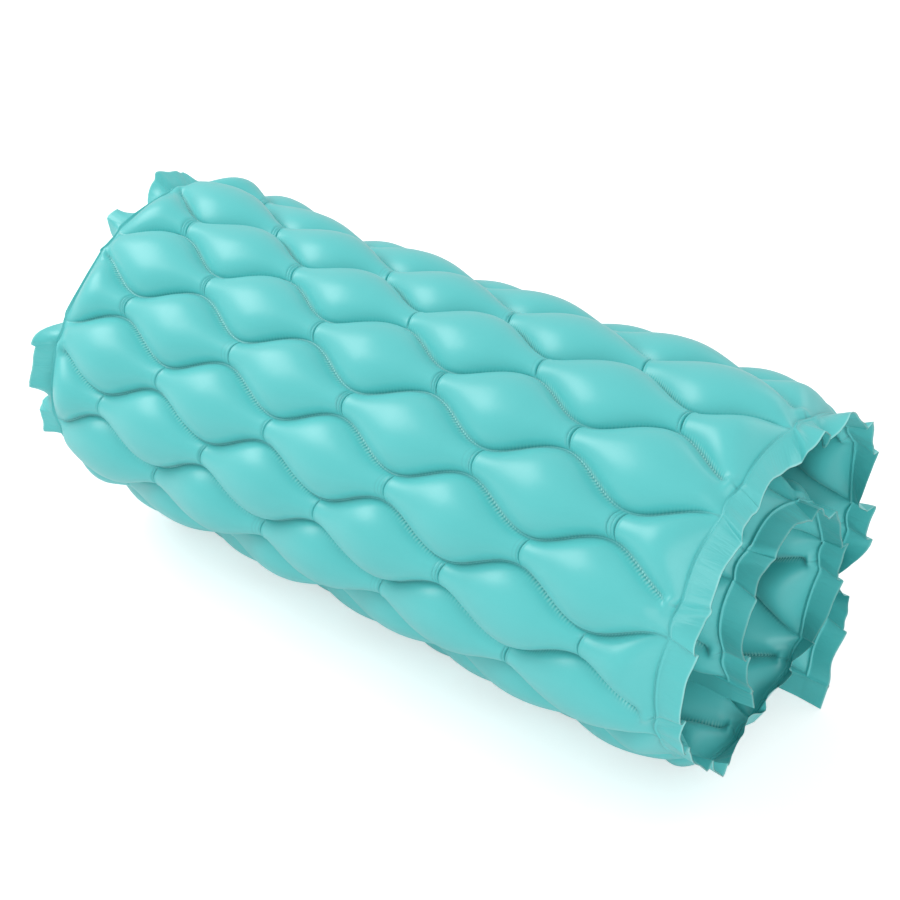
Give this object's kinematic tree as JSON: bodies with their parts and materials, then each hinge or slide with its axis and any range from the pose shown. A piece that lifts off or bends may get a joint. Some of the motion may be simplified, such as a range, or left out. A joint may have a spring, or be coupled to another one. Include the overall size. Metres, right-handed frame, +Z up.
{
  "type": "pool air mattress",
  "caption": "Inflated pool air mattress of wavy cross channels, rolled up and lying on its side, that unrolls flat and has a push-in air valve.",
  "frame": {"origin": "middle of the box's bottom face, on the surface that the roll lies on", "axes": "+X along the roll, across the mattress; +Z up; +Y towards the side where the free end hangs"},
  "size_m": [0.856, 0.419, 0.3857],
  "materials": {
    "pvc_film": "satin",
    "clear_vinyl": "gloss"
  },
  "bodies": {
    "channels_01_to_02": {"channel_01": "pvc_film", "channel_02": "pvc_film", "end_hem_outer": "pvc_film"},
    "channels_03_to_04": {"channel_03": "pvc_film", "channel_04": "pvc_film", "valve_base": "clear_vinyl"},
    "channels_05_to_06": {"channel_05": "pvc_film", "channel_06": "pvc_film"},
    "channels_07_to_09": {"channel_07": "pvc_film", "channel_08": "pvc_film", "channel_09": "pvc_film"},
    "channels_10_to_12": {"channel_10": "pvc_film", "channel_11": "pvc_film", "channel_12": "pvc_film"},
    "channels_13_to_15": {"channel_13": "pvc_film", "channel_14": "pvc_film", "channel_15": "pvc_film"},
    "channels_16_to_17": {"channel_16": "pvc_film", "channel_17": "pvc_film"},
    "channel_18": {"channel_18": "pvc_film"},
    "channels_19_to_20": {"channel_19": "pvc_film", "channel_20": "pvc_film"},
    "channels_21_to_22": {"channel_21": "pvc_film", "channel_22": "pvc_film"},
    "channels_23_to_24": {"channel_23": "pvc_film", "channel_24": "pvc_film"},
    "channels_25_to_26": {"channel_25": "pvc_film", "channel_26": "pvc_film"},
    "channels_27_to_28": {"channel_27": "pvc_film", "channel_28": "pvc_film", "end_hem_inner": "pvc_film"},
    "valve_stem": {"valve_stem": "clear_vinyl"},
    "valve_plug": {"valve_plug": "clear_vinyl"},
    "valve_flap": {"valve_flap": "clear_vinyl"}
  },
  "joints": [
    {"name": "weld_02_bend", "type": "hinge", "parent": "channels_03_to_04", "child": "channels_01_to_02", "pos_m": [0, 0.15984, 0.12926], "axis": [1, 0, 0], "range_deg": [0, 20.3]},
    {"name": "weld_04_bend", "type": "hinge", "parent": "channels_05_to_06", "child": "channels_03_to_04", "pos_m": [0, 0.15697, 0.23752], "axis": [1, 0, 0], "range_deg": [0, 34.91]},
    {"name": "weld_06_bend", "type": "hinge", "parent": "channels_07_to_09", "child": "channels_05_to_06", "pos_m": [0, 0.093, 0.32425], "axis": [1, 0, 0], "range_deg": [0, 45.46]},
    {"name": "weld_09_bend", "type": "hinge", "parent": "channels_10_to_12", "child": "channels_07_to_09", "pos_m": [0, -0.06366, 0.34671], "axis": [1, 0, 0], "range_deg": [0, 54.54]},
    {"name": "weld_12_bend", "type": "hinge", "parent": "channels_13_to_15", "child": "channels_10_to_12", "pos_m": [0, -0.17289, 0.23217], "axis": [1, 0, 0], "range_deg": [0, 60.32]},
    {"name": "weld_15_bend", "type": "hinge", "parent": "channels_16_to_17", "child": "channels_13_to_15", "pos_m": [0, -0.12869, 0.08443], "axis": [1, 0, 0], "range_deg": [0, 56.92]},
    {"name": "weld_17_bend", "type": "hinge", "parent": "channel_18", "child": "channels_16_to_17", "pos_m": [0, -0.04059, 0.0291], "axis": [1, 0, 0], "range_deg": [0, 16.46]},
    {"name": "weld_18_bend", "type": "hinge", "parent": "channel_18", "child": "channels_19_to_20", "pos_m": [0, 0.01408, 0.03102], "axis": [-1, 0, 0], "range_deg": [0, 30.91]},
    {"name": "weld_20_bend", "type": "hinge", "parent": "channels_19_to_20", "child": "channels_21_to_22", "pos_m": [0, 0.08528, 0.10563], "axis": [-1, 0, 0], "range_deg": [0, 55.45]},
    {"name": "weld_22_bend", "type": "hinge", "parent": "channels_21_to_22", "child": "channels_23_to_24", "pos_m": [0, 0.0922, 0.21326], "axis": [-1, 0, 0], "range_deg": [0, 52.7]},
    {"name": "weld_24_bend", "type": "hinge", "parent": "channels_23_to_24", "child": "channels_25_to_26", "pos_m": [0, 0.01311, 0.28202], "axis": [-1, 0, 0], "range_deg": [0, 68.2]},
    {"name": "weld_26_bend", "type": "hinge", "parent": "channels_25_to_26", "child": "channels_27_to_28", "pos_m": [0, -0.07579, 0.23641], "axis": [-1, 0, 0], "range_deg": [0, 71.04]},
    {"name": "stem_push", "type": "slide", "parent": "channels_03_to_04", "child": "valve_stem", "axis": [0, -0.9944, 0.1061], "range_m": [0, 0.01]},
    {"name": "plug_swing", "type": "hinge", "parent": "valve_stem", "child": "valve_plug", "pos_m": [-0.24, 0.20795, 0.16118], "axis": [1, 0, 0], "range_deg": [0, 150]},
    {"name": "flap_swing", "type": "hinge", "parent": "valve_stem", "child": "valve_flap", "pos_m": [-0.24, 0.17911, 0.15993], "axis": [-1, 0, 0], "range_deg": [0, 60]}
  ],
  "couplings": [
    {"joint": "weld_02_bend", "follows": "weld_17_bend", "ratio": 1.2329},
    {"joint": "weld_04_bend", "follows": "weld_17_bend", "ratio": 2.1201},
    {"joint": "weld_06_bend", "follows": "weld_17_bend", "ratio": 2.7609},
    {"joint": "weld_09_bend", "follows": "weld_17_bend", "ratio": 3.3131},
    {"joint": "weld_12_bend", "follows": "weld_17_bend", "ratio": 3.6638},
    {"joint": "weld_15_bend", "follows": "weld_17_bend", "ratio": 3.4573},
    {"joint": "weld_18_bend", "follows": "weld_17_bend", "ratio": 1.8775},
    {"joint": "weld_20_bend", "follows": "weld_17_bend", "ratio": 3.3683},
    {"joint": "weld_22_bend", "follows": "weld_17_bend", "ratio": 3.2009},
    {"joint": "weld_24_bend", "follows": "weld_17_bend", "ratio": 4.1425},
    {"joint": "weld_26_bend", "follows": "weld_17_bend", "ratio": 4.3154}
  ]
}
